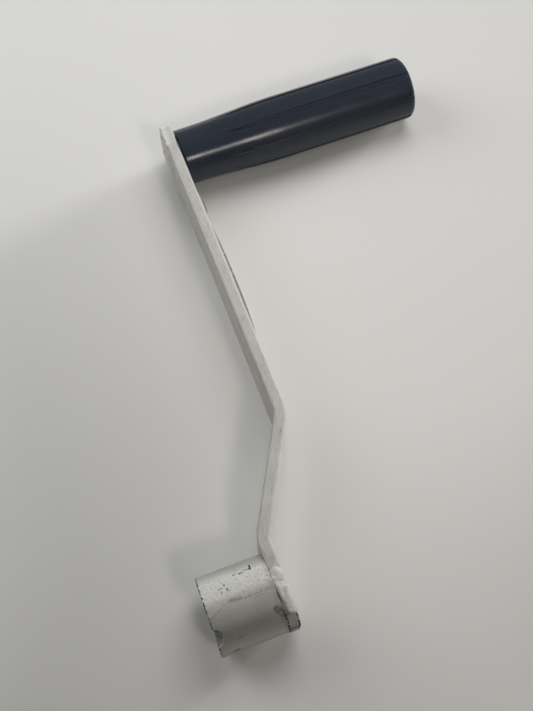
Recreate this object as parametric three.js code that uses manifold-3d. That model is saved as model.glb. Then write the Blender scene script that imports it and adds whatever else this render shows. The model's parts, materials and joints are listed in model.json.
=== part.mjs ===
// A hand crank: a joggled flat-bar arm with a short drive socket welded to one face of its hub end
// and a plastic grip that turns freely on a fixed spindle at its outer end.
//
// Millimetres, +Z up. The crank lies flat: the socket and the grip both run along X, and the arm
// runs along Y from the socket to the grip. The origin is the middle of the base of the whole box.

import * as THREE from 'three';
import { mergeVertices } from 'three/addons/utils/BufferGeometryUtils.js';
import Module from 'manifold-3d';

const wasm = await Module();
wasm.setup();

// ---- Driving dimensions -------------------------------------------------------------------

// Arm: a flat bar bent twice, so that its two ends stay parallel.
const THROW = 200; // socket axis to grip axis
const BAR_WIDTH = 25;
const BAR_THICKNESS = 5;
const JOGGLE = 25; // sideways step between the hub end and the grip end
const LOW_BEND_Y = 19.3;
const HIGH_BEND_Y = 64.5;
const INNER_BEND_RADIUS = 5;
const OUTER_BEND_RADIUS = 14;
const ARM_OVERHANG = 12; // bar beyond the grip axis
const GRIP_END_CORNER = 3;
const HUB_CORNER_ALONG = 5; // the hub end's corners are cut back to follow the socket
const HUB_CORNER_ACROSS = 7.5;

// Socket: a short tube with a half-round notch on each side of its mouth for a cross pin.
const SOCKET_RADIUS = 15.75;
const SOCKET_BORE_RADIUS = 12.7;
const SOCKET_LENGTH = 27;
const SOCKET_CHAMFER = 0.5;
const NOTCH_RADIUS = 4.3;
const NOTCH_CENTRE_OUTSIDE = 1; // the notch's centre lies this far past the mouth
const NOTCH_ANGLE = THREE.MathUtils.degToRad(130); // about +X, from +Y

// Weld beads along the two edges of the bar, in the step beside the socket.
const WELD_LOBES = [
  { radius: 3.1, length: 3, y: 3.5, x: 1.9 },
  { radius: 2.7, length: 7, y: -4.7, x: 2.3 },
];
const WELD_OVERHANG = 0.4; // past the bar's outer face
const WELD_GAP = 0.3;

// Grip and the pieces that hold it on its spindle.
const GRIP_LENGTH = 112.5;
const GRIP_BASE_RADIUS = 12.85;
const GRIP_RADIUS = 14.6;
const GRIP_FLARE_START = 4.5; // the grip swells between these two distances from its base
const GRIP_FLARE_END = 48;
const GRIP_END_ROUND = 2.8;
const GRIP_BASE_ROUND = 0.5;
const GRIP_GAP = 0.8; // between the arm and the grip
const GRIP_BORE_RADIUS = 5.1;
const CAP_BORE_RADIUS = 10;
const CAP_BORE_DEPTH = 14;
const FLUTE_COUNT = 8;
const FLUTE_FIRST_ANGLE = THREE.MathUtils.degToRad(103);
const FLUTE_CUTTER_RADIUS = 1.6;
const FLUTE_DEPTH = 0.6;
const FLUTE_START = 17;
const FLUTE_FULL = 36; // the flute reaches its full depth here
const FLUTE_OVERRUN = 3; // it runs out through the rounded far end

const SPINDLE_RADIUS = 5;
const SPINDLE_END_CLEARANCE = 8.5; // spindle tip to the grip's far end
const SPINDLE_CHAMFER = 0.8;
const SPINDLE_HOLE_RADIUS = 5.1;
const SPINDLE_WELD_RADIUS = 9;
const SPINDLE_WELD_HEIGHT = 0.6;

const THRUST_WASHER_RADIUS = 10.5;
const THRUST_WASHER_THICKNESS = 0.6;
const END_WASHER_RADIUS = 9;
const END_WASHER_THICKNESS = 1;
const RUNNING_GAP = 0.1;
const CAP_RADIUS = 9.9;
const CAP_THICKNESS = 2.4;
const CAP_SKIRT_LENGTH = 5;
const CAP_SKIRT_WALL = 1.3;
const CAP_RECESS = 0.3;

const ROUND_SEGMENTS = 72;
const SMALL_SEGMENTS = 48;

// ---- Derived places -----------------------------------------------------------------------

const ARM_TIP_Y = THROW + ARM_OVERHANG;
const GRIP_BASE_X = JOGGLE + BAR_THICKNESS + GRIP_GAP;
const GRIP_TIP_X = GRIP_BASE_X + GRIP_LENGTH;

// ---- Materials ----------------------------------------------------------------------------

const paint = (color) => new THREE.MeshStandardMaterial({ color, roughness: 0.5, metalness: 0.1 });
const steel = (color) => new THREE.MeshStandardMaterial({ color, roughness: 0.35, metalness: 0.9 });
const plastic = (color) => new THREE.MeshStandardMaterial({ color, roughness: 0.3, metalness: 0 });

// ---- Solids -------------------------------------------------------------------------------

// A closed three.js geometry becomes a solid that can be cut and joined.
function toSolid(geometry) {
  const bare = geometry.clone();
  bare.deleteAttribute('normal');
  bare.deleteAttribute('uv');
  const merged = mergeVertices(bare, 1e-4);
  const vertProperties = new Float32Array(merged.attributes.position.array);
  const triVerts = new Uint32Array(merged.index.array);
  return new wasm.Manifold(new wasm.Mesh({ numProp: 3, vertProperties, triVerts }));
}

function toGeometry(solid) {
  const mesh = solid.getMesh();
  const geometry = new THREE.BufferGeometry();
  geometry.setAttribute('position', new THREE.BufferAttribute(mesh.vertProperties, 3));
  geometry.setIndex(new THREE.BufferAttribute(mesh.triVerts, 1));
  return geometry;
}

// Turns a profile of [radius, distance] points about the X axis, with distance along +X.
function turned(points, segments) {
  const profile = points.map(([radius, distance]) => new THREE.Vector2(radius, distance));
  profile.push(profile[0].clone());
  return new THREE.LatheGeometry(profile, segments).rotateZ(-Math.PI / 2);
}

// Turned from the -X end to the +X end, so a ring's outline reads inner edge first.
function ring(inner, outer, start, length, segments = SMALL_SEGMENTS) {
  const end = start + length;
  return turned([[inner, start], [outer, start], [outer, end], [inner, end]], segments);
}

// A closed outline whose corners are eased by curves that start the given distance from them.
function easedShape(corners) {
  const shape = new THREE.Shape();
  const count = corners.length;
  corners.forEach(({ at, ease = 0 }, index) => {
    const before = corners[(index + count - 1) % count].at;
    const after = corners[(index + 1) % count].at;
    const entry = at.clone().add(before.clone().sub(at).setLength(ease));
    const exit = at.clone().add(after.clone().sub(at).setLength(ease));
    if (index === 0) shape.moveTo(entry.x, entry.y);
    else shape.lineTo(entry.x, entry.y);
    if (ease > 0) shape.quadraticCurveTo(at.x, at.y, exit.x, exit.y);
  });
  shape.closePath();
  return shape;
}

// ---- Arm ----------------------------------------------------------------------------------

// The bar seen along Z: two parallel stretches and the slanted one between them.
function armPlan() {
  const turn = Math.atan2(JOGGLE, HIGH_BEND_Y - LOW_BEND_Y);
  const shift = (BAR_THICKNESS / 2) * Math.tan(turn / 2);
  const innerEase = INNER_BEND_RADIUS * Math.tan(turn / 2);
  const outerEase = OUTER_BEND_RADIUS * Math.tan(turn / 2);
  const nearX = BAR_THICKNESS;
  const farX = JOGGLE + BAR_THICKNESS;
  return easedShape([
    { at: new THREE.Vector2(0, -SOCKET_RADIUS) },
    { at: new THREE.Vector2(nearX, -SOCKET_RADIUS) },
    { at: new THREE.Vector2(nearX, LOW_BEND_Y - shift), ease: innerEase },
    { at: new THREE.Vector2(farX, HIGH_BEND_Y - shift), ease: outerEase },
    { at: new THREE.Vector2(farX, ARM_TIP_Y) },
    { at: new THREE.Vector2(JOGGLE, ARM_TIP_Y) },
    { at: new THREE.Vector2(JOGGLE, HIGH_BEND_Y + shift), ease: innerEase },
    { at: new THREE.Vector2(0, LOW_BEND_Y + shift), ease: outerEase },
  ]);
}

// The bar seen along X: its hub end is cut back at the corners, its far end nearly square.
function armFace() {
  const half = BAR_WIDTH / 2;
  const hubHalf = half - HUB_CORNER_ACROSS;
  const shoulderY = HUB_CORNER_ALONG - SOCKET_RADIUS;
  return easedShape([
    { at: new THREE.Vector2(-SOCKET_RADIUS, -hubHalf) },
    { at: new THREE.Vector2(shoulderY, -half) },
    { at: new THREE.Vector2(ARM_TIP_Y, -half), ease: GRIP_END_CORNER },
    { at: new THREE.Vector2(ARM_TIP_Y, half), ease: GRIP_END_CORNER },
    { at: new THREE.Vector2(shoulderY, half) },
    { at: new THREE.Vector2(-SOCKET_RADIUS, hubHalf) },
  ]);
}

function armGeometry() {
  const plan = new THREE.ExtrudeGeometry(armPlan(), {
    depth: BAR_WIDTH, bevelEnabled: false, curveSegments: 6,
  }).translate(0, 0, -BAR_WIDTH / 2);
  const margin = 10;
  const span = JOGGLE + BAR_THICKNESS + 2 * margin;
  const face = new THREE.ExtrudeGeometry(armFace(), {
    depth: span, bevelEnabled: false, curveSegments: 6,
  });
  // Shape x, y and depth become Y, Z and X.
  face.rotateX(Math.PI / 2).rotateZ(Math.PI / 2).translate(-margin, 0, 0);
  const hole = new THREE.CylinderGeometry(
    SPINDLE_HOLE_RADIUS, SPINDLE_HOLE_RADIUS, span, SMALL_SEGMENTS,
  ).rotateZ(Math.PI / 2).translate(JOGGLE, THROW, 0);
  return toGeometry(toSolid(plan).intersect(toSolid(face)).subtract(toSolid(hole)));
}

// ---- Socket -------------------------------------------------------------------------------

function socketGeometry() {
  const mouth = -SOCKET_LENGTH;
  const c = SOCKET_CHAMFER;
  const tube = turned([
    [SOCKET_BORE_RADIUS + c, mouth],
    [SOCKET_RADIUS - c, mouth],
    [SOCKET_RADIUS, mouth + c],
    [SOCKET_RADIUS, 0],
    [SOCKET_BORE_RADIUS, 0],
    [SOCKET_BORE_RADIUS, mouth + c],
  ], ROUND_SEGMENTS);
  const notch = new THREE.CylinderGeometry(
    NOTCH_RADIUS, NOTCH_RADIUS, 4 * SOCKET_RADIUS, SMALL_SEGMENTS,
  ).rotateX(NOTCH_ANGLE).translate(mouth - NOTCH_CENTRE_OUTSIDE, 0, 0);
  return toGeometry(toSolid(tube).subtract(toSolid(notch)));
}

// One weld bead on the bar's edge beside the socket, run in two overlapping lobes and held clear of
// both pieces. side is +1 for the upper edge and -1 for the lower one.
function socketWeldGeometry(side) {
  const lobe = ({ radius, length, y, x }) => toSolid(
    new THREE.CapsuleGeometry(radius, length, 6, 16).translate(x, y, BAR_WIDTH / 2),
  );
  const outerX = BAR_THICKNESS + WELD_OVERHANG;
  const keep = new THREE.BoxGeometry(outerX - WELD_GAP, 2 * SOCKET_RADIUS, 2 * SOCKET_RADIUS);
  keep.translate((outerX + WELD_GAP) / 2, 0, BAR_WIDTH / 2 + WELD_GAP + SOCKET_RADIUS);
  const bead = WELD_LOBES.map(lobe).reduce((all, next) => all.add(next));
  const geometry = toGeometry(bead.intersect(toSolid(keep)));
  return side > 0 ? geometry : geometry.rotateX(Math.PI);
}

// ---- Spindle and its hardware -------------------------------------------------------------

function spindleGeometry() {
  const tip = GRIP_TIP_X - SPINDLE_END_CLEARANCE;
  const geometry = new THREE.LatheGeometry([
    new THREE.Vector2(0, JOGGLE),
    new THREE.Vector2(SPINDLE_RADIUS, JOGGLE),
    new THREE.Vector2(SPINDLE_RADIUS, tip - SPINDLE_CHAMFER),
    new THREE.Vector2(SPINDLE_RADIUS - SPINDLE_CHAMFER, tip),
    new THREE.Vector2(0, tip),
  ], SMALL_SEGMENTS);
  return geometry.rotateZ(-Math.PI / 2);
}

// The weld that closes the spindle's hole on the arm's outer face, dressed nearly flat.
function spindleWeldGeometry() {
  const face = JOGGLE - RUNNING_GAP;
  const crown = face - SPINDLE_WELD_HEIGHT;
  const geometry = new THREE.LatheGeometry([
    new THREE.Vector2(0, crown),
    new THREE.Vector2(SPINDLE_WELD_RADIUS * 0.6, crown + 0.05),
    new THREE.Vector2(SPINDLE_WELD_RADIUS * 0.85, crown + 0.2),
    new THREE.Vector2(SPINDLE_WELD_RADIUS, face),
    new THREE.Vector2(0, face),
  ], SMALL_SEGMENTS);
  return geometry.rotateZ(-Math.PI / 2);
}

// A push-on fastener: a flat rim with a cone of teeth that bites on the spindle.
function pushNutGeometry(start) {
  return turned([
    [5.05, start + 1.2],
    [6.3, start],
    [8.5, start],
    [8.5, start + 0.7],
    [6.6, start + 0.7],
    [5.3, start + 1.9],
  ], SMALL_SEGMENTS);
}

// ---- Grip ---------------------------------------------------------------------------------

// The grip's outer radius at a distance from its base, before the flutes and the end rounding.
function gripRadius(distance) {
  const swell = THREE.MathUtils.smoothstep(distance, GRIP_FLARE_START, GRIP_FLARE_END);
  return GRIP_BASE_RADIUS + (GRIP_RADIUS - GRIP_BASE_RADIUS) * swell;
}

function gripBlank() {
  const outline = [
    [GRIP_BORE_RADIUS, 0],
    [GRIP_BASE_RADIUS - GRIP_BASE_ROUND, 0],
    [GRIP_BASE_RADIUS, GRIP_BASE_ROUND],
  ];
  const flareSteps = 8;
  for (let step = 0; step <= flareSteps; step += 1) {
    const distance = THREE.MathUtils.lerp(GRIP_FLARE_START, GRIP_FLARE_END, step / flareSteps);
    outline.push([gripRadius(distance), distance]);
  }
  const roundSteps = 5;
  for (let step = 0; step <= roundSteps; step += 1) {
    const turn = (step / roundSteps) * (Math.PI / 2);
    outline.push([
      GRIP_RADIUS - GRIP_END_ROUND * (1 - Math.cos(turn)),
      GRIP_LENGTH - GRIP_END_ROUND * (1 - Math.sin(turn)),
    ]);
  }
  outline.push([CAP_BORE_RADIUS, GRIP_LENGTH]);
  outline.push([CAP_BORE_RADIUS, GRIP_LENGTH - CAP_BORE_DEPTH]);
  outline.push([GRIP_BORE_RADIUS, GRIP_LENGTH - CAP_BORE_DEPTH]);
  return turned(outline, ROUND_SEGMENTS);
}

// A round bar that starts just proud of the grip, dips into it and runs off its far end.
function fluteCutter(angle) {
  const steps = 12;
  const route = [];
  for (let step = 0; step <= steps; step += 1) {
    const end = GRIP_LENGTH + FLUTE_OVERRUN;
    const distance = THREE.MathUtils.lerp(FLUTE_START, end, step / steps);
    const depth = FLUTE_DEPTH * THREE.MathUtils.smoothstep(distance, FLUTE_START, FLUTE_FULL);
    const reach = gripRadius(distance) + FLUTE_CUTTER_RADIUS - depth;
    route.push(new THREE.Vector3(distance, reach, 0));
  }
  const section = new THREE.Shape();
  section.absarc(0, 0, FLUTE_CUTTER_RADIUS, 0, 2 * Math.PI);
  const cutter = new THREE.ExtrudeGeometry(section, {
    extrudePath: new THREE.CatmullRomCurve3(route), steps: 2 * steps, curveSegments: 6,
  });
  return cutter.rotateX(angle);
}

function gripGeometry() {
  let solid = toSolid(gripBlank());
  for (let index = 0; index < FLUTE_COUNT; index += 1) {
    const angle = FLUTE_FIRST_ANGLE + (index / FLUTE_COUNT) * 2 * Math.PI;
    solid = solid.subtract(toSolid(fluteCutter(angle)));
  }
  return toGeometry(solid);
}

// A snap-in cap: a disc with a skirt that grips the bore behind it.
function endCapGeometry() {
  const face = GRIP_LENGTH - CAP_RECESS;
  const back = face - CAP_THICKNESS;
  const skirtEnd = back - CAP_SKIRT_LENGTH;
  const geometry = new THREE.LatheGeometry([
    new THREE.Vector2(0, back),
    new THREE.Vector2(CAP_RADIUS - CAP_SKIRT_WALL, back),
    new THREE.Vector2(CAP_RADIUS - CAP_SKIRT_WALL, skirtEnd),
    new THREE.Vector2(CAP_RADIUS, skirtEnd),
    new THREE.Vector2(CAP_RADIUS, face - 0.4),
    new THREE.Vector2(CAP_RADIUS - 0.4, face),
    new THREE.Vector2(0, face),
  ], SMALL_SEGMENTS);
  return geometry.rotateZ(-Math.PI / 2);
}

// ---- Assembly -----------------------------------------------------------------------------

const crank = new THREE.Group();
crank.position.set(
  -(GRIP_TIP_X - SOCKET_LENGTH) / 2,
  -(THROW + GRIP_RADIUS - SOCKET_RADIUS) / 2,
  SOCKET_RADIUS,
);

function add(group, name, geometry, material) {
  const mesh = new THREE.Mesh(geometry, material);
  mesh.name = name;
  group.add(mesh);
}

add(crank, 'arm', armGeometry(), paint(0xc9c6bf));
add(crank, 'socket_tube', socketGeometry(), paint(0xc2bfb8));
add(crank, 'socket_weld_upper', socketWeldGeometry(1), paint(0xd2d0ca));
add(crank, 'socket_weld_lower', socketWeldGeometry(-1), paint(0xd2d0ca));

// Everything below turns about, or holds, the spindle.
const spindleAxis = new THREE.Group();
spindleAxis.position.set(0, THROW, 0);
crank.add(spindleAxis);

const thrustWasher = ring(
  GRIP_BORE_RADIUS, THRUST_WASHER_RADIUS,
  JOGGLE + BAR_THICKNESS + RUNNING_GAP, THRUST_WASHER_THICKNESS,
);
const seatX = GRIP_TIP_X - CAP_BORE_DEPTH;
const endWasher = ring(GRIP_BORE_RADIUS, END_WASHER_RADIUS, seatX + RUNNING_GAP, END_WASHER_THICKNESS);
const pushNutX = seatX + END_WASHER_THICKNESS + 2 * RUNNING_GAP;

add(spindleAxis, 'spindle', spindleGeometry(), steel(0x9a9a98));
add(spindleAxis, 'spindle_weld', spindleWeldGeometry(), paint(0xbdbab3));
add(spindleAxis, 'thrust_washer', thrustWasher, steel(0x8a8a88));
add(spindleAxis, 'end_washer', endWasher, steel(0x8a8a88));
add(spindleAxis, 'push_nut', pushNutGeometry(pushNutX), steel(0x6f7072));

const grip = new THREE.Group();
grip.position.set(GRIP_BASE_X, 0, 0);
spindleAxis.add(grip);
add(grip, 'grip_sleeve', gripGeometry(), plastic(0x1c2230));
add(grip, 'end_cap', endCapGeometry(), plastic(0x1a1f2b));

export default crank;
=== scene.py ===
"""The looks of the hand crank: finished surfaces, paint, plastic, camera and light around the CAD frame.

Shapes are worked out in millimetres in the crank's own frame: x is the distance from the face of the
arm that the socket is welded to, y the distance from the socket's axis towards the grip, and z the
height above that axis. to_metres() places them in the CAD frame.
"""

import json
import math

import bmesh
import bpy
import numpy as np
from mathutils import Matrix, Vector, noise


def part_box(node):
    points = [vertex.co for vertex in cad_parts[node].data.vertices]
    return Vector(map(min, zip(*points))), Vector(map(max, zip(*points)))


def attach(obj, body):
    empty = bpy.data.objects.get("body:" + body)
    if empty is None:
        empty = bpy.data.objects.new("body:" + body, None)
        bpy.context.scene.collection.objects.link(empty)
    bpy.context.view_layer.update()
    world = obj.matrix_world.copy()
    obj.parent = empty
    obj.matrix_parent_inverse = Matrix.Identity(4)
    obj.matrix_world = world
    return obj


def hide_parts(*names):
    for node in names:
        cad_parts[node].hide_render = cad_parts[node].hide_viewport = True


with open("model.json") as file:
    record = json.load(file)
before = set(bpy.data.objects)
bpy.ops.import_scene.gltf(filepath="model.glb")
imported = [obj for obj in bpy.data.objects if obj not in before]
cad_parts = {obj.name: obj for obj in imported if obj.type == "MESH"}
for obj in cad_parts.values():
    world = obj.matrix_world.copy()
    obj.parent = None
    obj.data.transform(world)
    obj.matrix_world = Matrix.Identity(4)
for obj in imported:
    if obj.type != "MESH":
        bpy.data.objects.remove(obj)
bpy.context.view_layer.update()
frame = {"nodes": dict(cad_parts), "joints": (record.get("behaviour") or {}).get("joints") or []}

noise.seed_set(2)  # noise_vector would otherwise start from the clock

MM = 0.001

# ---- Sizes read from the frame ------------------------------------------------------------


def box_mm(node):
    """A CAD node's lowest and highest corner in millimetres."""
    return [np.array(corner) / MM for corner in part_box(node)]


socket_low, socket_high = box_mm("socket_tube")
ORIGIN = np.array([socket_high[0], *(socket_low[1:] + socket_high[1:]) / 2])
SOCKET_LENGTH = socket_high[0] - socket_low[0]
SOCKET_RADIUS = (socket_high[2] - socket_low[2]) / 2

arm_low, arm_high = (corner - ORIGIN for corner in box_mm("arm"))
HUB_END_Y = arm_low[1]
ARM_TIP_Y = arm_high[1]
BAR_HALF_WIDTH = arm_high[2]
JOGGLE = (box_mm("spindle")[0] - ORIGIN)[0]
BAR_THICKNESS = arm_high[0] - JOGGLE

grip_low, grip_high = (corner - ORIGIN for corner in box_mm("grip_sleeve"))
GRIP_BASE_X = grip_low[0]
GRIP_LENGTH = grip_high[0] - grip_low[0]
GRIP_RADIUS = (grip_high[2] - grip_low[2]) / 2
GRIP_AXIS_Y = frame["joints"][0]["pos_m"][1] / MM - ORIGIN[1]

cap_low, cap_high = (corner - ORIGIN for corner in box_mm("end_cap"))
CAP_RADIUS = (cap_high[2] - cap_low[2]) / 2

weld_low, weld_high = (corner - ORIGIN for corner in box_mm("spindle_weld"))
SPINDLE_WELD_RADIUS = (weld_high[2] - weld_low[2]) / 2

# ---- Shapes that the boxes don't tell -----------------------------------------------------

LOW_BEND_Y = 19.3
HIGH_BEND_Y = 64.5
INNER_BEND_RADIUS = 5
OUTER_BEND_RADIUS = 14
TIP_CORNER = 3
HUB_CORNER_ALONG = 5
HUB_CORNER_ACROSS = 7.5
BAR_EDGE_RADIUS = 0.8

SOCKET_BORE_RADIUS = 12.7
SOCKET_EDGE_RADIUS = 0.35
NOTCH_RADIUS = 4.3
NOTCH_CENTRE_OUTSIDE = 1
NOTCH_ANGLE = math.radians(130)

GRIP_BASE_RADIUS = 12.85
GRIP_FLARE_START = 4.5
GRIP_FLARE_END = 48
GRIP_END_ROUND = 2.8
GRIP_BASE_ROUND = 0.5
GRIP_BORE_RADIUS = 5.1
CAP_BORE_RADIUS = 10
CAP_BORE_DEPTH = 14
FLUTE_COUNT = 8
FLUTE_FIRST_ANGLE = math.radians(103)
FLUTE_CUTTER_RADIUS = 1.6
FLUTE_DEPTH = 0.6
FLUTE_START = 17
FLUTE_FULL = 36

# ---- Mesh helpers -------------------------------------------------------------------------


def to_metres(points):
    """Points in millimetres in the crank's frame, placed in the CAD frame in metres."""
    return (np.asarray(points, float) + ORIGIN) * MM


def smoothstep(value, low, high):
    t = np.clip((value - low) / (high - low), 0, 1)
    return t * t * (3 - 2 * t)


def wobble(points, size, amount):
    """A smooth random push for each point: size is the width of its waves, amount their height."""
    return np.array([noise.noise_vector(Vector(point) / size) for point in points]) * amount


def bumpiness(points, size):
    """A smooth random number from -1 to 1 for each point."""
    return np.array([noise.noise(Vector(point) / size) for point in points])


def graded(length, dense_start=False, dense_end=False):
    """Distances from 0 to length, a millimetre apart and much closer at an end that has rounded edges."""
    near = np.concatenate([np.linspace(0, 0.6, 8), np.arange(1.0, 7.0, 0.4)])
    start = near if dense_start else np.array([0.0])
    end = length - near[::-1] if dense_end else np.array([length])
    middle = np.linspace(start[-1], end[0], max(2, round(end[0] - start[-1])) + 1)[1:-1]
    return np.concatenate([start, middle, end])


def quad_grid(rings, columns, closed=False):
    """The quads between rings of columns points each; closed joins the last ring to the first."""
    faces = []
    for ring in range(rings if closed else rings - 1):
        here = ring * columns
        there = (ring + 1) % rings * columns
        for column in range(columns):
            after = (column + 1) % columns
            faces.append((here + column, here + after, there + after, there + column))
    return faces


def close_end(points, faces, ring_start, columns, outwards):
    """Closes a ring with a fan of triangles about its middle point."""
    ring = points[ring_start:ring_start + columns]
    centre = len(points)
    for column in range(columns):
        edge = (ring_start + column, ring_start + (column + 1) % columns)
        faces.append((*(edge if outwards else edge[::-1]), centre))
    return np.vstack([points, ring.mean(axis=0)])


def mesh_object(name, points, faces):
    """A smooth-shaded object from points in the crank's frame, with its faces turned outwards."""
    mesh = bpy.data.meshes.new(name)
    mesh.from_pydata(to_metres(points).tolist(), [], faces)
    work = bmesh.new()
    work.from_mesh(mesh)
    bmesh.ops.recalc_face_normals(work, faces=work.faces)
    work.to_mesh(mesh)
    work.free()
    mesh.shade_smooth()
    obj = bpy.data.objects.new(name, mesh)
    bpy.context.scene.collection.objects.link(obj)
    return obj


def store(obj, name, values):
    """Keeps a number at each point, for the material to read."""
    attribute = obj.data.attributes.new(name, "FLOAT", "POINT")
    attribute.data.foreach_set("value", np.asarray(values, np.float32))


def store_flow(obj, places):
    """Keeps a place in millimetres along an unbent piece at each point, for its material to follow."""
    attribute = obj.data.attributes.new("flow", "FLOAT_VECTOR", "POINT")
    attribute.data.foreach_set("vector", (np.asarray(places) * MM).astype(np.float32).ravel())


def finish_piece(obj, body, slot, material, *nodes):
    obj.data.materials.append(material)
    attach(obj, body)
    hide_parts(*nodes)


# ---- Material helpers ---------------------------------------------------------------------


class Shader:
    """A material's nodes, with short ways to make the ones that these finishes use."""

    def __init__(self, name):
        self.material = bpy.data.materials.new(name)
        self.material.use_nodes = True
        self.tree = self.material.node_tree
        self.surface = self.tree.nodes["Principled BSDF"]
        self.place = self.node("ShaderNodeTexCoord").outputs["Object"]

    def node(self, kind, inputs=None, **settings):
        node = self.tree.nodes.new(kind)
        for key, value in settings.items():
            setattr(node, key, value)
        for key, value in (inputs or {}).items():
            self.feed(node.inputs[key], value)
        return node

    def feed(self, socket, value):
        if isinstance(value, bpy.types.NodeSocket):
            self.tree.links.new(value, socket)
        else:
            socket.default_value = value

    def stretched(self, scale):
        """The object's coordinates in millimetres, scaled along each axis."""
        factors = [part / MM for part in scale]
        return self.node(
            "ShaderNodeMapping", {"Vector": self.place, "Scale": factors},
        ).outputs["Vector"]

    def noise(self, size, detail=4, roughness=0.55, stretch=(1, 1, 1)):
        """Cloudy noise whose features are about size millimetres wide, from 0 to 1."""
        return self.node("ShaderNodeTexNoise", {
            "Vector": self.stretched([part / size for part in stretch]),
            "Scale": 1.0, "Detail": detail, "Roughness": roughness,
        }).outputs["Fac"]

    def specks(self, spacing, radius):
        """Scattered round specks: 1 inside a speck of that radius, both in millimetres."""
        distance = self.node("ShaderNodeTexVoronoi", {
            "Vector": self.stretched([1 / spacing] * 3), "Scale": 1.0,
        }).outputs["Distance"]
        return self.ramp(distance, radius / spacing, 0.6 * radius / spacing)

    def ramp(self, value, low, high, to_low=0.0, to_high=1.0):
        return self.node("ShaderNodeMapRange", {
            "Value": value, "From Min": low, "From Max": high, "To Min": to_low, "To Max": to_high,
        }, interpolation_type="SMOOTHSTEP").outputs["Result"]

    def math(self, operation, *values):
        return self.node("ShaderNodeMath", dict(enumerate(values)), operation=operation).outputs[0]

    def blend(self, factor, a, b):
        mix = self.node("ShaderNodeMix", data_type="RGBA")
        self.feed(mix.inputs[0], factor)
        self.feed(mix.inputs[6], a)
        self.feed(mix.inputs[7], b)
        return mix.outputs[2]

    def attribute(self, name):
        return self.node("ShaderNodeAttribute", attribute_name=name).outputs["Fac"]

    def bump(self, height, depth, under=None):
        """Tilts the surface as a relief of that depth in millimetres would, on top of another bump."""
        inputs = {"Height": height, "Distance": depth * MM, "Strength": 1.0}
        if under:
            inputs["Normal"] = under
        return self.node("ShaderNodeBump", inputs).outputs["Normal"]

    def set(self, **inputs):
        for key, value in inputs.items():
            self.feed(self.surface.inputs[key.replace("_", " ")], value)


def grey(value, warmth=0.0):
    """A linear grey, warmer with less blue and a little more red."""
    return (value * (1 + warmth / 4), value, value * (1 - warmth), 1)


# ---- Materials ----------------------------------------------------------------------------

BARE_STEEL = grey(0.035, 0.03)
# The dark grey that scuffs and dirt blend to, and that painted shading darkens towards.
GRIME_AND_SHADE_GREY = grey(0.14, 0.12)
RUST = (0.17, 0.085, 0.05, 1)


def paint(name, light, dark, gloss_roughness, along_bar=False):
    """Satin grey paint: cloudy, dusty and scuffed, chipped where the piece's wear is high.

    The piece's painted shading darkens it evenly, dirt with painted shading and rust darken it in patches,
    and its rough patches are peppered, uneven and painted lighter, partly as painted light and partly a
    lighter finish. On a bar the brush lines follow its bends.
    """
    shader = Shader(name)
    grain = (1, 1, 1)
    if along_bar:
        grain = (1, 0.15, 1)
        shader.place = shader.node("ShaderNodeAttribute", attribute_name="flow").outputs["Vector"]
    rough_and_lit_patch = shader.attribute("rough")
    clouds = shader.ramp(shader.noise(14, 5), 0.32, 0.68)
    coat = shader.blend(clouds, dark, light)
    # Rough patches are painted lighter: partly a lighter finish, partly painted light where they face the
    # lamps.
    coat = shader.blend(shader.math("MULTIPLY", rough_and_lit_patch, 0.8), coat, grey(0.82, 0.02))
    lines = shader.ramp(shader.noise(0.6, 3, stretch=grain), 0.45, 0.75, 0.0, 0.24)
    coat = shader.blend(lines, coat, GRIME_AND_SHADE_GREY)
    streaks = shader.ramp(shader.noise(1.8, 3, stretch=grain), 0.60, 0.74, 0.0, 0.22)
    coat = shader.blend(streaks, coat, GRIME_AND_SHADE_GREY)
    # Painted shading: the shade attribute darkens the paint where shade falls on the piece.
    coat = shader.blend(shader.attribute("shade"), coat, GRIME_AND_SHADE_GREY)
    pepper = shader.math("MULTIPLY", shader.specks(1.7, 0.25), rough_and_lit_patch)
    coat = shader.blend(shader.math("MULTIPLY", pepper, 0.6), coat, GRIME_AND_SHADE_GREY)
    dusty = shader.math("MAXIMUM", shader.ramp(shader.noise(9), 0.44, 0.56), rough_and_lit_patch)
    dust = shader.math("MULTIPLY", shader.specks(3.6, 0.34), dusty)
    coat = shader.blend(shader.math("MULTIPLY", dust, 0.7), coat, GRIME_AND_SHADE_GREY)
    # Dirt, and painted shading in joins and hollows, in cloudy patches.
    grime_and_shade = shader.math("MULTIPLY", shader.attribute("grime_and_shade"), shader.ramp(shader.noise(1.5), 0.2, 0.6))
    coat = shader.blend(grime_and_shade, coat, GRIME_AND_SHADE_GREY)
    rust = shader.math("MULTIPLY", shader.attribute("rust"), shader.ramp(shader.noise(0.9), 0.42, 0.62))
    coat = shader.blend(rust, coat, RUST)
    wear = shader.math("ADD", shader.attribute("wear"), shader.noise(1.1, 6, 0.7))
    chips = shader.ramp(wear, 1.18, 1.28)
    colour = shader.blend(chips, coat, BARE_STEEL)
    relief = shader.bump(shader.noise(0.7, 3), 0.02)
    relief = shader.bump(shader.noise(5, 2), 0.05, relief)
    relief = shader.bump(shader.math("MULTIPLY", rough_and_lit_patch, shader.noise(1.4, 4, 0.6)), 0.7, relief)
    relief = shader.bump(shader.ramp(wear, 1.18, 1.30, 1.0, 0.0), 0.05, relief)
    rough = shader.ramp(shader.noise(6, 5), 0.3, 0.7, gloss_roughness - 0.08, gloss_roughness + 0.10)
    metal = shader.math("MULTIPLY", chips, 0.3)
    shader.set(Base_Color=colour, Roughness=rough, Normal=relief, Metallic=metal)
    return shader.material


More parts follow.
